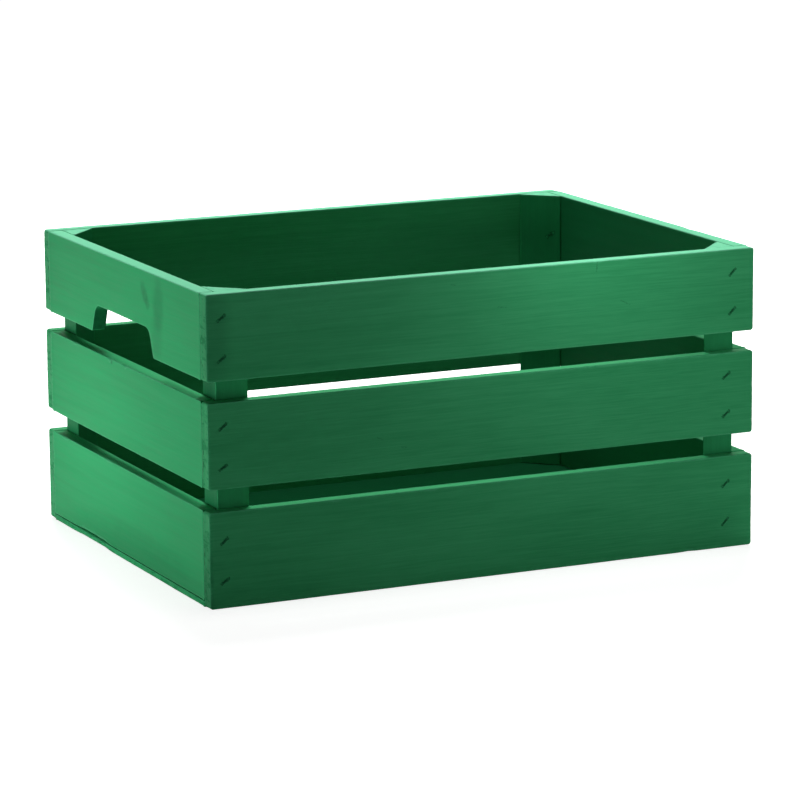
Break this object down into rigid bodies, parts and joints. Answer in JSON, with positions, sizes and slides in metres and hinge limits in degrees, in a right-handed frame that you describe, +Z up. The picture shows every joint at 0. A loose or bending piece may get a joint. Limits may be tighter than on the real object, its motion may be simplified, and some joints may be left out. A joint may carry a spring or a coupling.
{
  "type": "wooden crate",
  "caption": "Slatted wooden crate, painted green: three tiers of boards round four triangular corner posts over a thin floor panel, with a hand hold in each end.",
  "frame": {"origin": "on the ground under the middle of the crate", "axes": "+X along the long boards to the right, +Y from the front to the rear, +Z up"},
  "size_m": [0.4, 0.296, 0.206],
  "materials": {
    "long_board": "satin green paint over sanded pine, grain showing faintly",
    "end_board": "satin green paint over sanded pine, grain showing faintly",
    "corner_post": "satin green paint over sawn pine",
    "floor_panel": "matt green paint over thin panel",
    "staple": "steel wire, painted over"
  },
  "bodies": {
    "root": {"front_bottom_board": "long_board", "front_middle_board": "long_board", "front_top_board": "long_board", "rear_bottom_board": "long_board", "rear_middle_board": "long_board", "rear_top_board": "long_board", "left_end_bottom_board": "end_board", "left_end_middle_board": "end_board", "left_end_top_board": "end_board", "right_end_bottom_board": "end_board", "right_end_middle_board": "end_board", "right_end_top_board": "end_board", "front_left_post": "corner_post", "front_right_post": "corner_post", "rear_left_post": "corner_post", "rear_right_post": "corner_post", "floor_panel": "floor_panel", "front_bottom_staple_1": "staple", "front_bottom_staple_2": "staple", "front_bottom_staple_3": "staple", "front_bottom_staple_4": "staple", "front_middle_staple_1": "staple", "front_middle_staple_2": "staple", "front_middle_staple_3": "staple", "front_middle_staple_4": "staple", "front_top_staple_1": "staple", "front_top_staple_2": "staple", "front_top_staple_3": "staple", "front_top_staple_4": "staple", "rear_bottom_staple_1": "staple", "rear_bottom_staple_2": "staple", "rear_bottom_staple_3": "staple", "rear_bottom_staple_4": "staple", "rear_middle_staple_1": "staple", "rear_middle_staple_2": "staple", "rear_middle_staple_3": "staple", "rear_middle_staple_4": "staple", "rear_top_staple_1": "staple", "rear_top_staple_2": "staple", "rear_top_staple_3": "staple", "rear_top_staple_4": "staple", "front_left_post_staple_bottom": "staple", "front_left_post_staple_middle": "staple", "front_left_post_staple_top": "staple", "front_right_post_staple_bottom": "staple", "front_right_post_staple_middle": "staple", "front_right_post_staple_top": "staple", "rear_left_post_staple_bottom": "staple", "rear_left_post_staple_middle": "staple", "rear_left_post_staple_top": "staple", "rear_right_post_staple_bottom": "staple", "rear_right_post_staple_middle": "staple", "rear_right_post_staple_top": "staple", "floor_left_staple_1": "staple", "floor_left_staple_2": "staple", "floor_left_staple_3": "staple", "floor_right_staple_1": "staple", "floor_right_staple_2": "staple", "floor_right_staple_3": "staple"}
  },
  "joints": []
}
